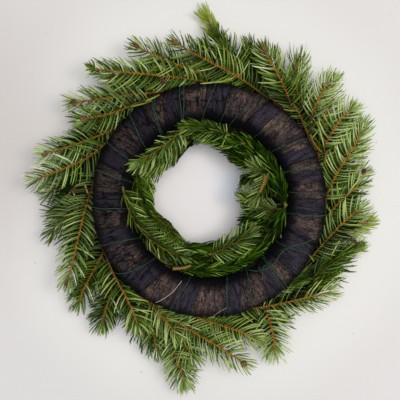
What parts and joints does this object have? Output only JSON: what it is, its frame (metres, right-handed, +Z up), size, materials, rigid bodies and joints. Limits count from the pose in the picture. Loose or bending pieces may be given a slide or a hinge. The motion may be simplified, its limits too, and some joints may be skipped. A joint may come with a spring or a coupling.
{
  "type": "advent wreath",
  "caption": "Fir wreath lying on its face: a straw ring wrapped in dark woven strip, with fir sprigs tied round it by winding wire.",
  "frame": {"origin": "middle of the wreath's box, on the surface that it lies on", "axes": "+Z up from the surface and out of the wrapped back, +Y along the wreath's longest way (up in the picture), +X right in the picture"},
  "size_m": [0.3846, 0.417, 0.0707],
  "materials": {
    "straw": "dry straw, matte",
    "woven_strip": "fine dark mesh, loosely wrinkled",
    "winding_wire": "green lacquer, slightly glossy",
    "fir": "fresh needles, waxy, on an orange-brown twig"
  },
  "bodies": {
    "root": {"ring_core": "straw", "wrap_strip": "woven_strip", "winding_wire": "winding_wire", "outer_sprig_01": "fir", "outer_sprig_02": "fir", "outer_sprig_03": "fir", "outer_sprig_04": "fir", "outer_sprig_05": "fir", "outer_sprig_06": "fir", "outer_sprig_07": "fir", "outer_sprig_08": "fir", "outer_sprig_09": "fir", "outer_sprig_10": "fir", "outer_sprig_11": "fir", "outer_sprig_12": "fir", "outer_sprig_13": "fir", "outer_sprig_14": "fir", "outer_sprig_15": "fir", "outer_sprig_16": "fir", "outer_sprig_17": "fir", "outer_sprig_18": "fir", "outer_sprig_19": "fir", "outer_sprig_20": "fir", "outer_sprig_21": "fir", "outer_sprig_22": "fir", "outer_sprig_23": "fir", "outer_sprig_24": "fir", "outer_sprig_25": "fir", "outer_sprig_26": "fir", "outer_sprig_27": "fir", "outer_sprig_28": "fir", "outer_sprig_29": "fir", "outer_sprig_30": "fir", "outer_sprig_31": "fir", "outer_sprig_32": "fir", "outer_sprig_33": "fir", "outer_sprig_34": "fir", "outer_sprig_35": "fir", "inner_sprig_01": "fir", "inner_sprig_02": "fir", "inner_sprig_03": "fir", "inner_sprig_04": "fir", "inner_sprig_05": "fir", "inner_sprig_06": "fir", "inner_sprig_07": "fir", "inner_sprig_08": "fir", "inner_sprig_09": "fir", "inner_sprig_10": "fir", "face_sprig_01": "fir", "face_sprig_02": "fir", "face_sprig_03": "fir", "face_sprig_04": "fir", "face_sprig_05": "fir", "face_sprig_06": "fir", "face_sprig_07": "fir", "face_sprig_08": "fir", "face_sprig_09": "fir", "face_sprig_10": "fir", "face_sprig_11": "fir", "face_sprig_12": "fir"}
  },
  "joints": []
}
